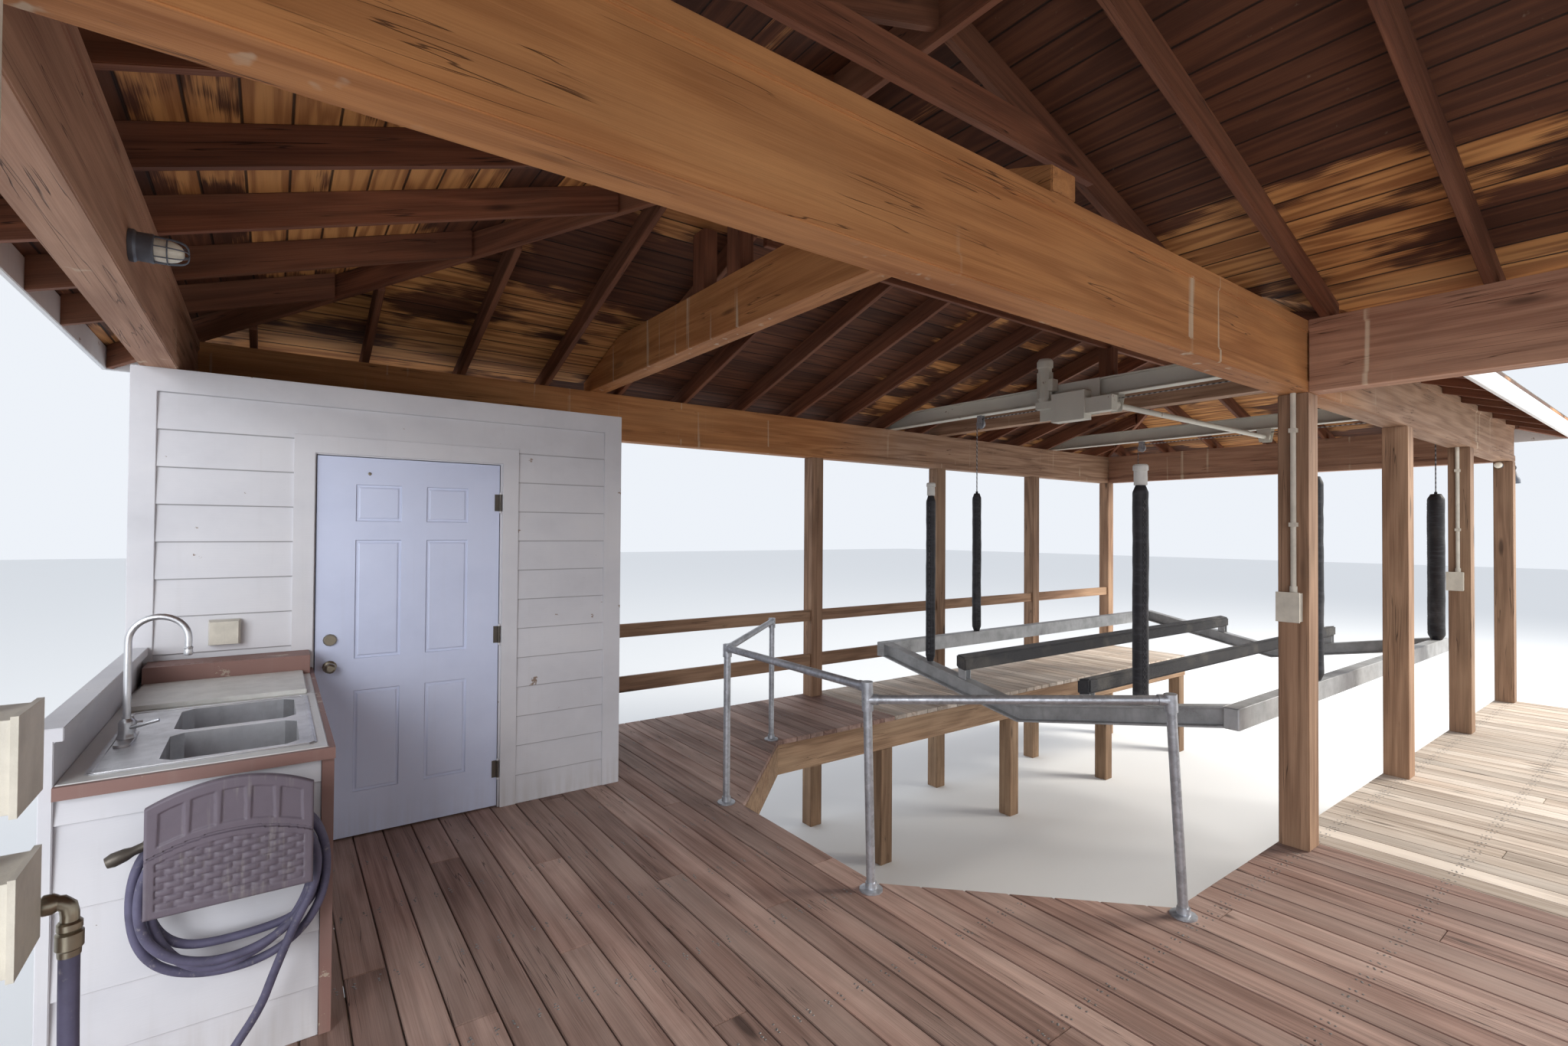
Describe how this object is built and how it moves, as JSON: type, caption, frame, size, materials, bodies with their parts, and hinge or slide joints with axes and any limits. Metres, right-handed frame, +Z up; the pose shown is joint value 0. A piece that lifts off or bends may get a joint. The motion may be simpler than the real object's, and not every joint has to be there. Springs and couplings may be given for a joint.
{
  "type": "timber boathouse",
  "caption": "Open timber boathouse on piles: hipped roof over a deck and boat slip, with a lift cradle, storage room, washing counter and guard rails.",
  "frame": {"origin": "under the middle of the roof, at the foot of the piles where they meet the water", "axes": "+X from the covered deck out along the slip to its open end, +Y to the walkway and the storage room, +Z up"},
  "size_m": [11.34, 8.76, 5.0326],
  "materials": {
    "deck_wood": "weathered oiled boards",
    "grey_wood": "bare weathered boards",
    "frame_wood": "rough sawn, stained brown",
    "roof_wood": "dark stained, rough sawn",
    "roof_deck": "dark stained boards under, plain covering above",
    "white_wood": "painted white, satin",
    "door_paint": "painted pale grey, satin",
    "old_brass": "worn",
    "counter_white": "worn white laminate",
    "shelf_brown": "painted brown",
    "stainless": "satin",
    "hanger_plastic": "moulded taupe",
    "hose_rubber": "grey violet, dull",
    "galvanised": "galvanised, dull",
    "lift_paint": "pale grey enamel",
    "lift_metal": "mill finish, weathered",
    "bunk_carpet": "dark carpet",
    "black_vinyl": "black padded vinyl",
    "wire_rope": "stainless wire rope",
    "cap_plastic": "white pipe",
    "box_plastic": "aged cream plastic",
    "lamp_metal": "grey enamel with a glass bowl"
  },
  "bodies": {
    "root": {"beams_cross": "frame_wood", "beams_long": "frame_wood", "cable_runs": "wire_rope", "cables": "wire_rope", "cage_lamp": "lamp_metal", "collar": "frame_wood", "counter_board": "white_wood", "counter_case": "white_wood", "counter_edge": "shelf_brown", "counter_ledge": "white_wood", "counter_shelf": "shelf_brown", "counter_top": "counter_white", "deck_near": "deck_wood", "deck_rim": "frame_wood", "deck_walks": "grey_wood", "door_frame": "white_wood", "drive_tube": "lift_paint", "electrics": "box_plastic", "fascia": "white_wood", "girders": "frame_wood", "guard_rails": "frame_wood", "hips": "roof_wood", "hose_coil": "hose_rubber", "hose_end": "hose_rubber", "hose_hanger": "hanger_plastic", "joists": "frame_wood", "lift_beams": "lift_paint", "lift_motor": "lift_paint", "nozzle": "old_brass", "piles": "frame_wood", "pipe_rail": "galvanised", "posts": "frame_wood", "pulleys": "galvanised", "rafters_slip": "roof_wood", "rafters_wing": "roof_wood", "ridges": "roof_wood", "roof_back": "roof_deck", "roof_far": "roof_deck", "roof_left": "roof_deck", "roof_near": "roof_deck", "roof_slip": "roof_deck", "roof_wing": "roof_deck", "sink": "stainless", "struts": "frame_wood", "tap": "stainless", "tie_beams": "frame_wood", "valve": "old_brass", "wall_front_left": "white_wood", "wall_front_right": "white_wood", "wall_front_top": "white_wood", "wall_rear": "white_wood", "wall_trim": "white_wood"},
    "door": {"door_leaf": "door_paint", "door_handle": "old_brass", "door_hinges": "old_brass"},
    "cradle": {"cradle_arms": "lift_metal", "cradle_cross": "lift_metal", "bunks": "bunk_carpet", "sleeves": "black_vinyl", "guide_caps": "cap_plastic"}
  },
  "joints": [
    {"name": "storage_door", "type": "hinge", "parent": "root", "child": "door", "pos_m": [-3.696, 2.756, 1.3], "axis": [0, 0, 1], "range_deg": [0, 95]},
    {"name": "cradle_lift", "type": "slide", "parent": "root", "child": "cradle", "axis": [0, 0, 1], "range_m": [-1.6, 0], "deforming": ["cables"]}
  ]
}
